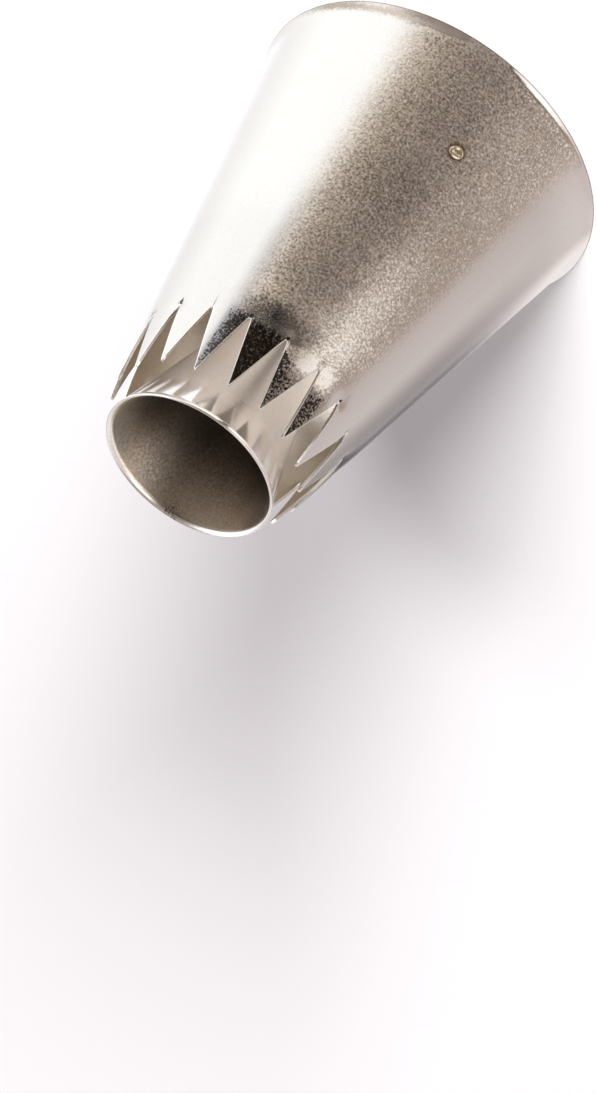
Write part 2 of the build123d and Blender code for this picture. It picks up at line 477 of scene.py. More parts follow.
# %% [markdown]
# ## The inner cone's finishes
#
# The inner cone is smooth outside and on its lip. Inside, the grain is coarser, and painted shade
# makes the metal darker with depth and towards one side, with a painted highlight as a bright line
# beside the other. That follows the picture, and it is painted into the steel because the studio
# alone leaves the inside too even, so it stays there under any other light. One place of the lip
# has dark pits. They are the peaks of a noise: the closer to the place, the lower the threshold
# that a peak has to pass.


# %% Pits and the dull depth
pit_brown = (0.06, 0.05, 0.04)
pit_grain = 0.24 * mm
pitted_turn = np.radians(107)
pitted_radius = 11.9 * mm
pitted_place = (
    pitted_radius * np.cos(pitted_turn),
    pitted_radius * np.sin(pitted_turn),
    mouth_height - 0.4 * mm,
)


def speckled(tree, finish, place, reach):
    """Scatters dark pits over the finish round a place, the fewer the farther from it."""
    near = spread(tree, distance_from(tree, place), 0.1 * reach, reach, 0.10, -0.26)
    pits = number(tree, "ADD", noise(tree, pit_grain, 2.0).outputs["Fac"], near)
    return mixed(tree, spread(tree, pits, 0.56, 0.70, 0.0, 0.9), finish, pit_brown)


def pitted_lip(tree, finish):
    """The pits as far as they reach over the lip."""
    return speckled(tree, finish, pitted_place, 3.0 * mm)


def painted_shade_in_depth(tree, finish):
    """Paints shade into the inside, darker with depth and towards one side, paints a bright line beside
    the other as a highlight, and adds the pits."""
    deep, shallow = mouth_height - 12 * mm, mouth_height - 1.2 * mm
    finish = scaled(tree, finish, spread(tree, place_part(tree, "Z"), deep, shallow, 0.45, 1.25))
    across = place_part(tree, "X")
    finish = scaled(tree, finish, spread(tree, across, -3 * mm, 8 * mm, 0.42, 1.8))
    finish = scaled(tree, finish, spread(tree, across, -10.8 * mm, -9.2 * mm, 1.5, 1.0))
    return speckled(tree, finish, pitted_place, 3.6 * mm)


# %% Finishes of the inner cone
polished_core = steel(
    "polished_core",
    (0.67, 0.62, 0.585),
    (0.63, 0.58, 0.545),
    0.14,
    0.02,
    0.5 * mm,
    (0.02, 0.02),
    dull=(57.0 * mm, 61.0 * mm, 0.2),
)
bright_lip = steel(
    "bright_lip",
    (0.74, 0.69, 0.64),
    (0.68, 0.63, 0.58),
    0.14,
    0.02,
    0.4 * mm,
    (0.05, 0.05),
    side=pitted_lip,
)
satin_core = steel(
    "satin_core",
    (0.56, 0.48, 0.40),
    (0.44, 0.375, 0.31),
    0.36,
    0.03,
    0.32 * mm,
    (0.22, 0.22),
    polish=(mouth_height - 1.6 * mm, mouth_height - 0.6 * mm),
    side=painted_shade_in_depth,
)

# %% [markdown]
# ## The strap's and the welds' finishes
#
# The strap is cut from rolled strip, a little rougher than the outside of the cones. Weld metal has
# melted and set again in air, so it is yellower, with a thin film of oxide.

# %% Finishes of the strap and the welds
strip_steel = steel("strip_steel", (0.64, 0.59, 0.54), (0.56, 0.51, 0.46), 0.24, 0.04, 0.6 * mm, (0.1, 0.1))
weld_metal = steel("weld_metal", (0.70, 0.61, 0.48), (0.56, 0.46, 0.33), 0.24, 0.04, 0.5 * mm, (0.05, 0.05))

# %% [markdown]
# ## The toothed outer cone
#
# On the real nozzle this is one thin sheet, shaped to a cone, flared at its rim and cut into teeth
# at its narrow end. It could be a boolean cut, but that leaves knife edges. Here each column of the
# grid is a closed loop round the sheet's section: up the outer face, over the cut edge and down the
# inner face. The top of the loop follows the zigzag of the teeth, so the cut edge comes out rounded
# along every flank, and catches the light there.

# %% Sizes of the rim and the teeth
rim_flare_height = 2.2 * mm
rim_flare_radius = 5.7 * mm

tooth_count = 18
tooth_pitch = 2 * np.pi / tooth_count
first_notch_angle = np.radians(17.3)
notch_depth = 9.7 * mm
notch_height = tip_height - notch_depth
notch_end_half = 0.175 * mm
notch_end_radius = 0.2 * mm
tooth_point_half = 0.085 * mm
print(tooth_count, "teeth, notches from", round(notch_height / mm, 2), "mm up")


# %% The outer cone's profile
def face_radius(height, depth):
    """Radius of the wall at a height, `depth` below its outer face: a straight cone above, and an
    arc about a centre outside the wall where the rim flares."""
    centre_radius = base_radius - rim_flare_height * wall_slope + rim_flare_radius * np.cos(wall_angle)
    centre_height = rim_flare_height + rim_flare_radius * np.sin(wall_angle)
    bend = rim_flare_radius + depth
    straight = base_radius - height * wall_slope - depth / np.cos(wall_angle)
    flared = centre_radius - np.sqrt(np.maximum(bend**2 - (centre_height - height) ** 2, 0))
    return np.where(height < centre_height - bend * np.sin(wall_angle), flared, straight)


def notch_columns():
    """Angles of the columns across one pitch, from one tooth point to the next, about the notch:
    close together round the notch's end, even along its flanks, and close again at the point."""
    end = notch_end_radius / face_radius(notch_height, 0)
    point = tooth_pitch / 2 - tooth_point_half / tip_radius
    half = np.concatenate([np.linspace(0, end, 5), np.linspace(end, point, 11)[1:], [tooth_pitch / 2]])
    return np.concatenate([-half[:0:-1], half[:-1]])


def tooth_line(offset):
    """Height of the cut at an angle from the notch's middle. The notch is a flat V pushed through
    the cone, so its half width, r sin(angle), grows evenly with height; its end is an arc."""
    across = np.sin(np.abs(offset))
    half_tip = tip_radius * np.sin(tooth_pitch / 2) - tooth_point_half
    spread_rate = (half_tip - notch_end_half) / notch_depth
    flank = (base_radius * across - notch_end_half + spread_rate * notch_height) / (
        spread_rate + wall_slope * across
    )
    x = np.clip(across * face_radius(notch_height, 0) / notch_end_radius, 0, 1)
    end = notch_height + notch_end_radius * (1 - np.sqrt(1 - x**2))
    return np.minimum(np.maximum(flank, end), tip_height)


# %% [markdown]
# Cut teeth are never quite alike. Shaping each by hand would take long and look arranged. A seeded
# random number for each tooth shortens it, bends it a little, and pushes a small dent into the
# sheet at the end of each notch. Only what stands out is given one by one: one tooth that leans
# outwards, and a few notches where the dent or the hollow is weaker or turned outwards.

# %% Small differences between the teeth
chance = np.random.default_rng(18)
tooth_lean = chance.uniform(-0.15, 0.05, tooth_count) * mm
tooth_lean[15] = 0.40 * mm
tooth_short = chance.uniform(0.0, 0.14, tooth_count) * mm
notch_shift = chance.uniform(-0.12, 0.12, tooth_count) * mm
dent_depth = chance.uniform(0.16, 0.24, tooth_count) * mm
dent_depth[[12, 14, 15]] *= 0.2
dent_width = chance.uniform(0.9, 1.1, tooth_count) * mm
hollow_depth = chance.uniform(0.10, 0.16, tooth_count) * mm
hollow_depth[[3, 12]] *= -0.4

offsets = notch_columns()
column_notch = np.repeat(np.arange(tooth_count), len(offsets))
column_offset = np.tile(offsets, tooth_count)
column_angle = first_notch_angle + column_notch * tooth_pitch + column_offset
column_tooth = np.where(column_offset >= 0, column_notch, column_notch - 1) % tooth_count

top = tooth_line(column_offset)
share = (top - notch_height) / notch_depth
top = top + notch_shift[column_notch] * (1 - share) - tooth_short[column_tooth] * share
print("columns round the outer cone", len(column_angle))

# %% [markdown]
# The sheet isn't an exact cone either. The teeth lean, more and more towards their points. Each
# notch has a small dent and a wider hollow round it, and one broad bulge shows where the sheet was
# pressed on its way through the tool. Dents, hollows and bulge are bell curves of the distance to
# their middle. All of them only change the radius, so the grid itself stays as it is.


# %% Lean, dents and bulge
lean_start = 5 * mm
hollow_width = 2.8 * mm
bulge_angle = np.radians(255)
bulge_height = 51 * mm
bulge_width = 8 * mm
bulge_rise = 0.40 * mm
bulge_radius = 1.15 * tip_radius


def lean(height):
    """How far each column's tooth stands off the cone: the sheet starts to curve in below the
    notches, and goes on as a square of the height."""
    rise = np.clip((height - notch_height + lean_start) / (notch_depth + lean_start), 0, 1)
    return tooth_lean[column_tooth][:, None] * rise**2


def dents(height):
    """Sum of the round dents and hollows at the notch ends, each a bell curve of the distance to
    it, and of the broad bulge, whose distance is measured along the sheet."""
    turn = np.angle(np.exp(1j * (column_angle - bulge_angle)))[:, None]
    away = ((turn * bulge_radius) ** 2 + (height - bulge_height) ** 2) / bulge_width**2
    sunk = -bulge_rise * np.exp(-away)
    for step in (-1, 0, 1):
        notch = (column_notch + step) % tooth_count
        across = (column_offset - step * tooth_pitch)[:, None] * face_radius(notch_height, 0)
        above = height - notch_height - notch_shift[notch][:, None]
        away = (across**2 + above**2) / dent_width[notch][:, None] ** 2
        sunk = sunk + dent_depth[notch][:, None] * np.exp(-away)
        wide = (across**2 + above**2) / hollow_width**2
        sunk = sunk + hollow_depth[notch][:, None] * np.exp(-wide)
    return sunk


# %% [markdown]
# Now the rows of the grid. They lie close together where the section is round, at the rim and at
# the cut edge, and wide apart on the straight wall. On a steep flank the rounding of the cut edge
# is stretched downwards, so that it stays equally wide when it is measured across the flank.


# %% The outer cone's rows
edge_round = 0.06 * mm
rim_round = 0.09 * mm
fine_start = 45.0 * mm
steepest = 4.5
flank = np.gradient(top) / np.gradient(np.unwrap(column_angle)) / face_radius(top, 0)
edge_drop = edge_round * np.sqrt(1 + np.clip(np.abs(flank), 0, steepest) ** 2)

quarter = np.radians([0, 30, 60, 90])
flare_rows = np.linspace(0.25, 1, 7) * rim_flare_height
straight_rows = np.linspace(rim_flare_height, fine_start, 16)[1:]
fine_share = np.linspace(0, 1, 34)[1:]


def wall_side(face_depth, sign):
    """Heights and depths of one face's rows, from the rim up to where the cut edge starts to round.
    sign is 1 on the outer face and -1 on the inner one, and says which way the rounding turns."""
    count = len(column_angle)
    rim_rows = np.append(rim_round * (1 - np.cos(quarter)), 1.8 * rim_round)
    rim_depths = np.append(face_depth + sign * rim_round * (1 - np.sin(quarter)), face_depth)
    low = np.concatenate([rim_rows, flare_rows, straight_rows])
    low_depths = np.concatenate([rim_depths, np.full(len(flare_rows) + len(straight_rows), face_depth)])
    last = (top - 1.7 * edge_drop)[:, None]
    fine = fine_start + (last - fine_start) * fine_share[None, :]
    edge = top[:, None] - edge_drop[:, None] * (1 - np.sin(quarter))[None, :]
    edge_depths = np.tile(face_depth + sign * edge_round * (1 - np.cos(quarter)), (count, 1))
    middle_depth = np.full((count, 1), face_depth + sign * 1.6 * edge_round)
    heights = np.concatenate([np.tile(low, (count, 1)), fine, edge, top[:, None]], 1)
    depths = [np.tile(low_depths, (count, 1)), np.full(fine.shape, face_depth), edge_depths, middle_depth]
    return heights, np.concatenate(depths, 1)


# %% The outer cone's mesh
outer_heights, outer_depths = wall_side(0.0, 1)
inner_heights, inner_depths = wall_side(wall, -1)
heights = np.concatenate([outer_heights, inner_heights[:, ::-1]], 1)
depths = np.concatenate([outer_depths, inner_depths[:, ::-1]], 1)
radii = face_radius(heights, depths) + lean(heights) - dents(heights)
wall_grid = np.stack(
    [radii * np.cos(column_angle)[:, None], radii * np.sin(column_angle)[:, None], heights], -1
)

outside, inside, cut, rim = range(4)
rim_steps = 4
edge_steps = 6
per_side = outer_heights.shape[1]
bands = np.full(2 * per_side, outside)
bands[per_side:] = inside
bands[per_side - edge_steps : per_side + edge_steps - 1] = cut
bands[:rim_steps] = rim
bands[-rim_steps - 1 :] = rim
outer_cone = skin("toothed_cone", wall_grid, [satin_wall, inside_wall, cut_edge_highlight, rim_edge_shade], bands)
dress(outer_cone, "outer_cone")

# %% [markdown]
# ## Painted shade and bends on the teeth and the wall
#
# Around the teeth the wall in the picture isn't even: some teeth are dark with bright grains, the
# notches end in dark spots, and reflections break there. Here the dark teeth, the dark spots and the
# grey are painted shade and dark reflections, and the breaks are bends of the surface. What made
# these marks isn't known, and some may be reflections that the painted studio lacks. Each kind is
# named for what it does to the steel, and its strength is set to follow the picture. Such marks could
# be painted as an image. Here each kind is one number for every point of the mesh, which the wall's
# finish reads as an attribute, so that a mark is a formula of its place. The helpers come first: a
# smooth step, and a bell curve of the distance to a place on the wall.


# %% Places on the wall
points = np.empty(3 * len(outer_cone.data.vertices), np.float32)
outer_cone.data.vertices.foreach_get("co", points)
points = points.reshape(-1, 3).astype(float)
turn = np.degrees(np.arctan2(points[:, 1], points[:, 0])) % 360
high = points[:, 2]


def smooth(value, low, high):
    """0 below low, 1 above high, and a smooth step between them."""
    t = np.clip((value - low) / (high - low), 0, 1)
    return t * t * (3 - 2 * t)


def on_wall(turn, height):
    """Points of the outer face at angles, in degrees, and heights."""
    turn, height = np.broadcast_arrays(np.radians(turn), height)
    radius = face_radius(height, 0)
    return np.stack([radius * np.cos(turn), radius * np.sin(turn), height], -1)


def bells(places, reach):
    """The highest of the bell curves about the given places, for every point of the mesh."""
    away = np.linalg.norm(points[:, None, :] - places[None, :, :], axis=2)
    return np.exp(-((away / reach) ** 2)).max(axis=1)


def band(value, middle, half_width):
    """A bell curve of one coordinate about its middle."""
    return np.exp(-(((value - middle) / half_width) ** 2))


print("points of the outer cone", len(points))

# %% [markdown]
# Every notch has a painted dark spot at its end, of a random size, except for those in front, whose
# sizes are set. Four teeth in front are also painted dark: the number that they get lifts the fine
# noise, so it says how many of the grains turn dark. The dark part starts at a foot line just below
# the notches, and the painted grey follows it. Both stand in for shade and dark reflections.

# %% Painted dark specks and grey teeth
pitch_turn = 360 / tooth_count
notch_turns = np.degrees(first_notch_angle) + pitch_turn * np.arange(tooth_count)
tooth_at = np.round((turn - notch_turns[0]) / pitch_turn - 0.5).astype(int) % tooth_count
dark_reach = chance.uniform(0.16, 0.34, tooth_count) * mm
dark_reach[12:17] = np.array([0.10, 0.34, 0.30, 0.05, 0.75]) * mm
# Painted dark spots at the ends of the notches, standing in for shade and dark reflections.
painted_dark_specks = 0.9 * bells(on_wall(notch_turns, notch_height + notch_shift - 0.3 * mm), dark_reach)

foot = notch_height - 1.2 * mm * smooth(turn, 276, 280) - 0.4 * mm * smooth(turn, 294, 298)
on_teeth = smooth(high, foot - 1.0 * mm, foot + 2.0 * mm)
# The four teeth in front that are painted dark, as shade and dark reflections.
painted_dark_teeth = smooth(turn, 238, 247) * (1 - smooth(turn, 307.5, 311.5)) * on_teeth

front_teeth = slice(11, 15)
dark_grains, greying, bending = np.zeros((3, tooth_count))
dark_grains[front_teeth] = (0.60, 0.44, 0.66, 0.52)
greying[front_teeth] = (0.45, 0.2, 1.0, 0.6)
bending[front_teeth] = (-0.01, -0.035, 0.07, 0.03)
dark_here = dark_grains[tooth_at] + 0.22 * (tooth_at == 12) * smooth(turn, 261, 274)
dark_here = dark_here + 0.18 * (tooth_at == 14) * (1 - smooth(turn, 301, 309))
print("dark grains on the teeth in front", dark_grains[front_teeth])

# %% [markdown]
# Two patches at the roots of the teeth are bright. They are tipped towards a bright part of the
# room and stay free of the painted specks, and so do two small spots in the notches. Beside them
# lies a patch of painted shade, which is also bent a little. Painted specks, painted grey and bend
# all follow the same bell curves, so that they fit together.

# %% Bright roots and the painted dark patch
root_turns = [253.6, 263.0]
root_heights = notch_height + np.array([0.5, 0.6]) * mm
spot_turns = [276.0, 296.3]
spot_heights = np.array([notch_height + 0.1 * mm])
hollow_turn = [287.0]
hollow_height = np.array([notch_height - 1.8 * mm])

bright_roots = bells(on_wall(root_turns, root_heights), 1.8 * mm)
bright_roots = np.maximum(bright_roots, bells(on_wall(spot_turns, spot_heights), 0.22 * mm))
# A patch of painted shade beside the bright roots.
painted_dark_patch = bells(on_wall(hollow_turn, hollow_height), 2.1 * mm)
painted_dark_specks = np.maximum(painted_dark_specks, dark_here * painted_dark_teeth)
painted_dark_specks = np.maximum(painted_dark_specks, 0.5 * painted_dark_patch) * (1 - bright_roots)
painted_grey = np.maximum(greying[tooth_at] * painted_dark_teeth, 0.95 * painted_dark_patch) * (1 - bright_roots)
print("points in the bright roots", int((bright_roots > 0.5).sum()))

# %% [markdown]
# The wall between the rim and the teeth is given slow bends: one lit band along it and two grey
# ones across it. A bend of 0.05 moves a reflection by about 6 degrees.

# %% Bends of the wall
tooth_rows = smooth(high, notch_height - 1.5 * mm, notch_height + 3 * mm)
bend = bending[tooth_at] * tooth_rows * (1 - bright_roots)
below_notches = 1 - smooth(high, notch_height - 3.5 * mm, notch_height + 0.5 * mm)
lit_band = band(turn, 258, 11) * smooth(high, 24 * mm, 35 * mm) * below_notches
grey_bands = band(high, 34 * mm, 5 * mm) * (1 - smooth(turn, 294, 300))
grey_bands = grey_bands + 2.2 * band(high, 45.8 * mm, 1.9 * mm)
grey_bands = grey_bands * smooth(turn, 264, 272) * (1 - smooth(turn, 300, 306))
bend = bend + 0.05 * painted_dark_patch - 0.18 * bright_roots - 0.045 * lit_band - 0.013 * grey_bands
print("bend of the wall from", round(float(bend.min()), 3), "to", round(float(bend.max()), 3))

# %% [markdown]
# In front the rim mirrors the same part of the room in the picture as the wall above it, as if it
# had no flare. So the bend takes the flare's own tilt away there. Only a thin crescent along the
# very edge keeps the tilt and shines white. Beside it the rim is matt, which the roughness takes
# care of. Last, painted shade dims one side of the wall where it is seen edge-on.

# %% The rim in front
flare_centre = rim_flare_height + rim_flare_radius * np.sin(wall_angle)
flare_tilt = np.clip((flare_centre - high) / rim_flare_radius, np.sin(wall_angle), 1)
flat_until = 286 + 14 * smooth(high, 0.9 * mm, 1.5 * mm)
flat_part = smooth(turn, 228, 238) * (1 - smooth(turn, flat_until, flat_until + 10))
flattened = (np.sqrt(1 - flare_tilt**2) * wall_slope - flare_tilt) * flat_part

glint_turns = [228, 240, 252, 262, 270, 276]
glint_height = mm * np.interp(turn, glint_turns, [0.0, 0.3, 0.65, 0.75, 0.45, -0.3])
on_glint = 1 - smooth(high, glint_height - 0.2 * mm, glint_height + 0.2 * mm)
bend = bend + flattened * (1 - on_glint)
bend = bend + 0.15 * on_glint * smooth(turn, 228, 238) * (1 - smooth(turn, 272, 276))

on_rim = 1 - smooth(high, 0.9 * mm, 1.7 * mm)
matt = on_rim * smooth(turn, 274, 278) * (1 - smooth(turn, 298, 304)) * (0.2 + 0.4 * smooth(turn, 278, 288))
# Painted shade: one side of the wall is dimmed where it is seen edge-on.
painted_shade_side = 1 - smooth(np.cos(np.radians(turn)), -0.985, -0.93)
edge = 1 - 0.6 * painted_shade_side * smooth(high, 10 * mm, 32 * mm)
print("points in the glint", int((on_glint * flat_part > 0.5).sum()))

# %% Five attributes on the mesh
for label, values in (("painted_dark_specks", painted_dark_specks), ("painted_grey", painted_grey), ("bend", bend), ("matt", matt), ("edge", edge)):
    kept = outer_cone.data.attributes.new(label, "FLOAT", "POINT")
    kept.data.foreach_set("value", values.astype(np.float32))
    print(label, "from", round(float(values.min()), 3), "to", round(float(values.max()), 3))

# %% [markdown]
# ## The inner cone
#
# The hollow inner cone keeps the middle of the piped ring open. Its mouth is belled out a little and
# its lip is rounded and polished, which draws the bright line round the dark hollow. It is a
# profile turned round the axis: up the outside from the closed nose, over the lip, and back down
# inside. The three finishes follow the profile.

# %% Sizes of the inner cone
nose_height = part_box("inner_cone")[0].z
lip_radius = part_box("inner_cone")[1].x
core_angle = np.radians(15.0)
core_wall = 0.5 * mm
core_nose_radius = 1.4 * mm
lip_edge = 0.15 * mm
lip_edge_centre = np.array([lip_radius - lip_edge, mouth_height - lip_edge])
nose_centre = (0.0, nose_height + core_nose_radius)
apex_height = nose_centre[1] - core_nose_radius / np.sin(core_angle)
print("nose at", round(nose_height / mm, 2), "mm, lip radius", round(lip_radius / mm, 2))


# %% Arcs and straight lines of a profile
def arc(centre, radius, start, end, count):
    """Points of an arc about a centre (radius from the axis, height), angles from the outward
    direction towards up, in degrees."""
    turn = np.radians(np.linspace(start, end, count))
    return np.stack([centre[0] + radius * np.cos(turn), centre[1] + radius * np.sin(turn)], -1)


def between(first, last, shares):
    """Points on the straight line between two points, at the given shares of its length."""
    return first + (last - first) * np.asarray(shares)[:, None]


# %% [markdown]
# The bell of the mouth is two arcs, one on each side of the sheet, and they aren't parallel: the
# lip was rolled thin and then rounded, so the two meet at a small round edge. The radius of each
# arc is worked out from where it has to end, so the arcs always meet that edge without a kink.


# %% The bell of the mouth
def bell(inwards, turn, offset, count):
    """One side of the bell: an arc that leaves the straight cone and bends outwards, until it meets
    the round edge. inwards is -1 on the outer side and 1 on the inner side, turn is the angle from
    the axis at its end, and offset is how far this side lies inside the cone's outer line."""
    turn = np.radians(turn)
    end = lip_edge_centre + inwards * lip_edge * np.array([-np.cos(turn), np.sin(turn)])
    gain = np.cos(core_angle) - np.cos(turn)
    rise = np.sin(turn) - np.sin(core_angle)
    slope = np.tan(core_angle)
    bend = (end[0] - (end[1] - apex_height) * slope + offset) / (gain - rise * slope)
    path = np.linspace(core_angle, turn, count)
    return np.stack(
        [end[0] - bend * (np.cos(path) - np.cos(turn)), end[1] - bend * (np.sin(turn) - np.sin(path))], -1
    )


# %% The inner cone's profile
lip_outer_turn = 35
lip_inner_turn = 62
nose_outside = arc(nose_centre, core_nose_radius, -90, -np.degrees(core_angle), 9)
nose_inside = arc(nose_centre, core_nose_radius - core_wall, -90, -np.degrees(core_angle), 9)
lip_out = bell(-1, lip_outer_turn, 0.0, 7)
lip_in = bell(1, lip_inner_turn, core_wall / np.cos(core_angle), 13)
lip_top = arc(lip_edge_centre, lip_edge, -lip_outer_turn, 180 - lip_inner_turn, 11)[1:-1]
along_wall = np.linspace(0, 1, 26)[1:-1]
profile = np.concatenate(
    [
        nose_outside,
        between(nose_outside[-1], lip_out[0], along_wall),
        lip_out,
        lip_top,
        lip_in[::-1],
        between(lip_in[0], nose_inside[-1], along_wall),
        nose_inside[::-1],
    ]
)
print("points of the profile", len(profile))

# %% The inner cone's mesh
core_angles = np.linspace(0, 2 * np.pi, 257)[:-1]
out_of_round = 1 + 0.0025 * np.cos(2 * core_angles + 0.7)[:, None]
core_grid = turned(core_angles, profile[:, 0][None, :] * out_of_round, profile[:, 1])
first_lip = len(nose_outside) + len(along_wall)
last_lip = first_lip + len(lip_out) + len(lip_top) + len(lip_in) - 6
core_outside, core_lip, core_inside = range(3)
core_bands = np.full(len(profile), core_outside)
core_bands[first_lip:last_lip] = core_lip
core_bands[last_lip:] = core_inside
inner_cone = skin(
    "hollow_cone", core_grid, [polished_core, bright_lip, satin_core], core_bands, wrap=(True, False)
)
dress(inner_cone, "inner_cone")

# %% [markdown]
# ## Spot welds
#
# A spot weld leaves a round print: the electrode pushes a dimple into the sheet, and a thin ring of
# metal rises round it. The ring is a small turned profile, and a matrix carries it from its own
# axis to the wall.


# %% The ring's profile
ring_radius = 0.95 * mm
ring_profile = np.array(
    [
        (0.0, 0.015),
        (0.2, 0.012),
        (0.42, 0.025),
        (0.56, 0.07),
        (0.66, 0.115),
        (0.76, 0.125),
        (0.86, 0.10),
        (0.95, 0.045),
        (1.02, 0.0),
        (1.05, -0.08),
        (0.9, -0.25),
        (0.0, -0.25),
    ]
)
ring_heights = ring_profile[:, 1] * mm
ring_angles = np.linspace(0, 2 * np.pi, 49)[:-1]
ring_wobble = 1 + 0.05 * np.sin(2 * ring_angles + 0.6)[:, None] + 0.03 * np.sin(3 * ring_angles)[:, None]
ring_radii = ring_profile[:, 0][None, :] * ring_wobble * ring_radius
print("the ring rises", round(float(ring_heights.max() / mm), 3), "mm")


# %% The rings of the spot welds
def on_axis(grid, place, direction):
    """Carries a grid made about the Z axis to a place, with Z turned to the direction."""
    turn = np.array(Vector(direction).to_track_quat("Z", "Y").to_matrix())
    return grid @ turn.T + np.array(place)


for weld_name, place in weld_places.items():
    outwards = Vector((0, np.sign(place.y) * np.cos(wall_angle), np.sin(wall_angle)))
    grid = on_axis(turned(ring_angles, ring_radii, ring_heights), place, outwards)
    ring_name = weld_name.replace("wall_weld", "weld_ring")
    ring = skin(ring_name, grid, [weld_metal], wrap=(True, False))
    dress(ring, weld_name)

# %% [markdown]
# ## The strap and its weld
#
# The strap and the bead at the nose are hidden in the photographed view, and show when the nozzle is
# seen from its wide end. Their CAD shapes are right, so they keep them and only get a finish.

# %% Finish of the strap and the bead
for cad_name, finish in (("bridge_strap", strip_steel), ("tip_weld", weld_metal)):
    cad_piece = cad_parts[cad_name]
    cad_piece.data.materials.clear()
    cad_piece.data.materials.append(finish)
    print(cad_name, "gets", finish.name)

# %% [markdown]
# ## The camera
#
# The nozzle stands upright in its own frame, and the camera is placed round it. Its place, aim and
# roll were solved from the rim, the tooth points, the notches and the mouth, all at once, so the
# perspective is that of the photograph and not set by eye. It is a long lens from about 0.7 m away,
# rolled far over, which makes the nozzle seem to lie.

# %% The camera
picture_height = 1093
camera_place = Vector((85.9, -566.8, 447.8)) * mm
aim_place = Vector((-17.2, -3.15, 64.38)) * mm
camera_roll = np.radians(-144.04)
focal_in_pixels = 5366.0
full_sensor = 36.0

lens = bpy.data.cameras.new("camera")
lens.sensor_width = full_sensor
lens.lens = focal_in_pixels * full_sensor / picture_height
lens.clip_start, lens.clip_end = 0.01, 20.0
camera = bpy.data.objects.new("camera", lens)
bpy.context.scene.collection.objects.link(camera)
looking = (aim_place - camera_place).to_track_quat("-Z", "Y").to_matrix()
rolled = looking @ Matrix.Rotation(camera_roll, 3, "Z")
camera.matrix_world = Matrix.Translation(camera_place) @ rolled.to_4x4()
bpy.context.scene.camera = camera
print("lens", round(lens.lens, 1), "mm, distance", round((aim_place - camera_place).length, 3), "m")

# %% [markdown]
# ## The floor
#
# A pale floor catches the shadow. A fifth of what the camera sees of it is plain white, which keeps
# the shadow soft. The metal doesn't mirror this floor, because the world below already holds the
# table as the steel shows it, bright on one side and dim on the other.

# %% The floor
floor_half = 1.5
floor_white_share = 0.2
corners = ((-1, -1), (1, -1), (1, 1), (-1, 1))
floor_mesh = bpy.data.meshes.new("floor")
floor_mesh.from_pydata([(x * floor_half, y * floor_half, 0.0) for x, y in corners], [], [(0, 1, 2, 3)])
floor = bpy.data.objects.new("floor", floor_mesh)
bpy.context.scene.collection.objects.link(floor)

floor_paint = bpy.data.materials.new("floor_paint")
floor_paint.use_nodes = True
tree = floor_paint.node_tree
tree.nodes.clear()
output = node(tree, "ShaderNodeOutputMaterial")
diffuse = node(tree, "ShaderNodeBsdfDiffuse", Color=(0.9, 0.9, 0.9, 1))
glow = node(tree, "ShaderNodeEmission", Color=(1, 1, 1, 1), Strength=1.0)
blend = node(tree, "ShaderNodeMixShader")
path = node(tree, "ShaderNodeLightPath")
tree.links.new(number(tree, "MULTIPLY", path.outputs["Is Camera Ray"], floor_white_share), blend.inputs[0])
tree.links.new(diffuse.outputs[0], blend.inputs[1])
tree.links.new(glow.outputs[0], blend.inputs[2])
tree.links.new(blend.outputs[0], output.inputs["Surface"])
floor_mesh.materials.append(floor_paint)
floor.visible_glossy = False
print("floor", 2 * floor_half, "m wide")

# %% [markdown]
# ## The studio
#
# Polished metal shows its surroundings more than itself, so the studio is what makes the picture.
# Lamps and cards could build it, but each would have to be placed by its reflection. Here it is
# painted into the world as rings, one above another. Each ring is a colour ramp round the nozzle,
# and the rings blend into each other by the height of the direction, from -1 straight down to 1
# straight up. All of them share a white soft box on one side and a pale table on the other. They
# differ in front of the nozzle: from a bright backdrop far below, over a dim room and a nearly
# black strip, to a bright backdrop again higher up, beside the dark of the room. The colours are
# set so that the steel mirrors what it does in the picture. The brightest lie well above
# white, because steel dims what it mirrors.

# %% Directions in the world
world = bpy.data.worlds.new("studio")
world.use_nodes = True
bpy.context.scene.world = world
tree = world.node_tree
tree.nodes.clear()
direction = node(tree, "ShaderNodeSeparateXYZ")
tree.links.new(node(tree, "ShaderNodeTexCoord").outputs["Generated"], direction.inputs[0])
height = direction.outputs["Z"]
angle = number(tree, "ARCTAN2", direction.outputs["Y"], direction.outputs["X"])
around = number(tree, "FRACT", number(tree, "DIVIDE", angle, float(2 * np.pi)))


def ring_of_light(stops):
    """Colour by direction round the nozzle. Each stop is an angle in degrees, anticlockwise from
    +X, and a colour."""
    ramp = node(tree, "ShaderNodeValToRGB")
    tree.links.new(around, ramp.inputs[0])
    elements = ramp.color_ramp.elements
    while len(elements) > 1:
        elements.remove(elements[0])
    elements[0].position = stops[0][0] / 360
    elements[0].color = (*stops[0][1], 1)
    for degrees, colour in stops[1:]:
        elements.new(degrees / 360).color = (*colour, 1)
    return ramp.outputs["Color"]


# %% Colours of the studio
box_white = (1.68, 1.80, 1.93)
box_soft = (1.30, 1.34, 1.42)
box_warm_end = (1.46, 1.42, 1.36)
shadow_side = (0.86, 0.81, 0.84)
table_pale = (0.90, 0.87, 0.91)
table_far = (0.84, 0.79, 0.83)
table_lit = (1.0, 0.95, 1.0)
room_lit = (0.63, 0.53, 0.478)
room_warm = (0.565, 0.474, 0.426)
room_dim = (0.463, 0.389, 0.351)
room_shade = (0.45, 0.375, 0.335)
room_dusk = (0.36, 0.32, 0.29)
room_dark = (0.30, 0.26, 0.23)
room_deep = (0.20, 0.165, 0.148)
nearly_black = (0.04, 0.035, 0.03)
backdrop_white = (1.60, 1.60, 1.60)
overhead = (0.50, 0.45, 0.42)

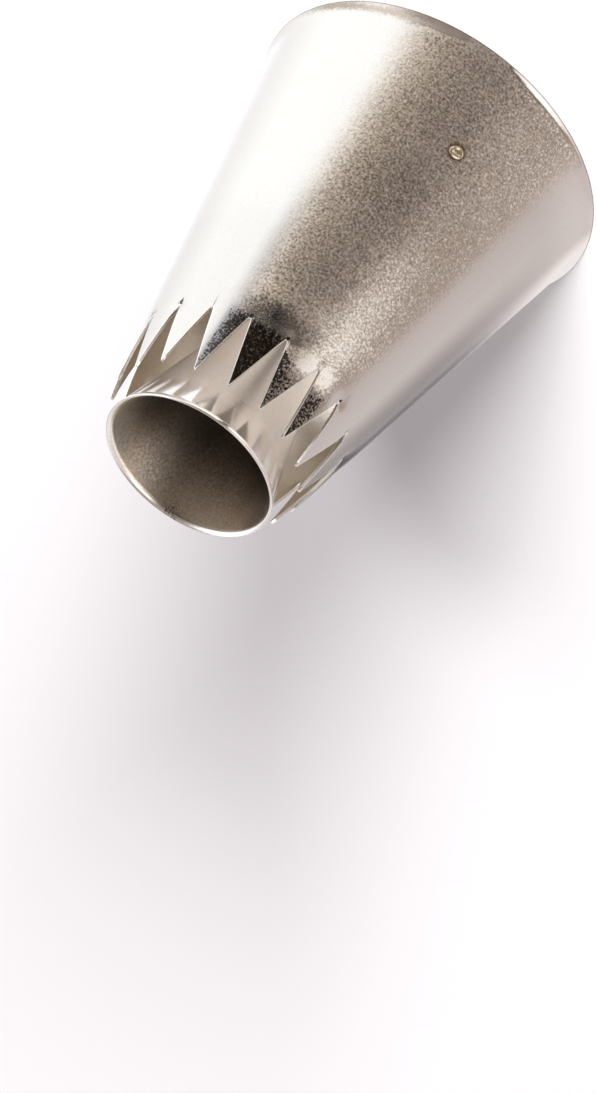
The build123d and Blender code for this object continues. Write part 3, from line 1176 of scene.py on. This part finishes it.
box_side = [(0, box_white), (25, box_white), (60, box_soft), (92, box_soft)]
pale_side = [(104, shadow_side), (135, shadow_side), (170, table_pale), (197, table_far)]
box_start = [(326, box_warm_end), (336, box_white)]

# %% The rings below the nozzle
deep_ring = ring_of_light(box_side + pale_side + [(212, room_dark), (314, room_dark)] + box_start)
below_ring = ring_of_light(
    box_side
    + pale_side
    + [(212, backdrop_white), (250, backdrop_white), (270, (1.0, 0.95, 0.9))]
    + box_start
)
low_ring = ring_of_light(
    box_side
    + pale_side
    + [(206, room_warm), (216, (0.53, 0.445, 0.40)), (234, room_lit), (250, (0.61, 0.512, 0.462))]
    + [(264, room_dim), (288, room_dim), (305, (0.66, 0.57, 0.48)), (316, (0.93, 0.83, 0.74))]
    + box_start
)
front_ring = ring_of_light(
    box_side
    + pale_side
    + [(203, room_warm), (213, room_shade), (228, room_deep), (262, nearly_black)]
    + [(320, nearly_black), (332, box_soft), (338, box_white)]
)
print("four rings below the nozzle")

# %% The rings level with the nozzle and above it
rise_ring = ring_of_light(
    [(0, (0.90, 0.84, 0.78)), (25, (0.78, 0.71, 0.66)), (40, box_soft), (92, box_soft)]
    + [(104, shadow_side), (135, shadow_side), (165, table_lit), (182, (0.82, 0.78, 0.82))]
    + [(197, (0.80, 0.75, 0.78)), (210, (0.68, 0.64, 0.63)), (228, (0.56, 0.52, 0.50))]
    + [(243, (0.66, 0.62, 0.58)), (258, (0.50, 0.46, 0.43)), (274, room_dusk), (292, room_dusk)]
    + [(307, (0.48, 0.43, 0.40)), (323, (0.75, 0.68, 0.65)), (336, (1.15, 1.06, 1.02))]
)
upper_ring = ring_of_light(
    [(0, box_white), (40, box_white), (70, table_pale), (104, table_pale), (150, (1.2, 1.2, 1.25))]
    + [(170, (1.0, 0.97, 1.0)), (200, (0.95, 0.90, 0.93)), (215, (1.10, 1.05, 1.03))]
    + [(228, (1.60, 1.60, 1.65)), (240, (1.9, 1.95, 2.1)), (260, (1.75, 1.72, 1.75))]
    + [(268, (0.85, 0.79, 0.75)), (276, (0.36, 0.31, 0.28)), (318, (0.34, 0.29, 0.26))]
    + [(330, (0.60, 0.55, 0.52)), (340, (1.20, 1.15, 1.12)), (350, box_white)]
)
print("two rings from the nozzle's height up")

# %% [markdown]
# The rings are stacked from straight down to straight up: each takes over from the one below
# between two heights. Light Path then tells the rays apart. The camera sees plain white behind the
# nozzle. Matt surfaces, which is the floor, get an even dim light, so that the shadow keeps its
# depth. Only what the metal mirrors comes from the rings.

# %% The world
even_light = (0.200, 0.155, 0.172)
studio = mixed(tree, spread(tree, height, -0.98, -0.93, 0.0, 1.0), backdrop_white, deep_ring)
for start, stop, ring in (
    (-0.68, -0.56, below_ring),
    (-0.50, -0.36, low_ring),
    (-0.36, -0.19, front_ring),
    (-0.17, -0.08, rise_ring),
    (0.08, 0.22, upper_ring),
    (0.78, 0.95, overhead),
):
    studio = mixed(tree, spread(tree, height, start, stop, 0.0, 1.0), studio, ring)
eye = node(tree, "ShaderNodeLightPath")
floor_light = mixed(tree, eye.outputs["Is Diffuse Ray"], studio, even_light)
seen = mixed(tree, eye.outputs["Is Camera Ray"], floor_light, (1.0, 1.0, 1.0))
background = node(tree, "ShaderNodeBackground", Strength=1.0)
tree.links.new(seen, background.inputs["Color"])
out = node(tree, "ShaderNodeOutputWorld")
tree.links.new(background.outputs[0], out.inputs["Surface"])
print("nodes in the world", len(tree.nodes))

# %% [markdown]
# ## The lights
#
# The shadow has a soft wide part and a darker core, as two windows make it. A distant light with a
# wide angle gives an even soft edge wherever the shadow falls, so there is one for each part. Metal
# doesn't mirror them, because the rings already hold the windows.


# %% The two lights that draw the shadow
def sun(name, azimuth, elevation, size, energy):
    """A distant light of a given size, all angles in degrees."""
    data = bpy.data.lights.new(name, "SUN")
    data.angle = np.radians(size)
    data.energy = energy
    data.color = (1.0, 0.975, 0.985)
    made = bpy.data.objects.new(name, data)
    turn, rise = np.radians(azimuth), np.radians(elevation)
    source = Vector((np.cos(turn) * np.cos(rise), np.sin(turn) * np.cos(rise), np.sin(rise)))
    made.rotation_euler = (-source).to_track_quat("-Z", "Y").to_euler()
    made.location = source * 0.5
    made.visible_glossy = False
    bpy.context.scene.collection.objects.link(made)
    print(name, "energy", energy)


sun("low_window", -70, 13, 20, 9.0)
sun("high_window", -51, 38, 11, 1.6)

bpy.context.scene.view_settings.view_transform = "Standard"
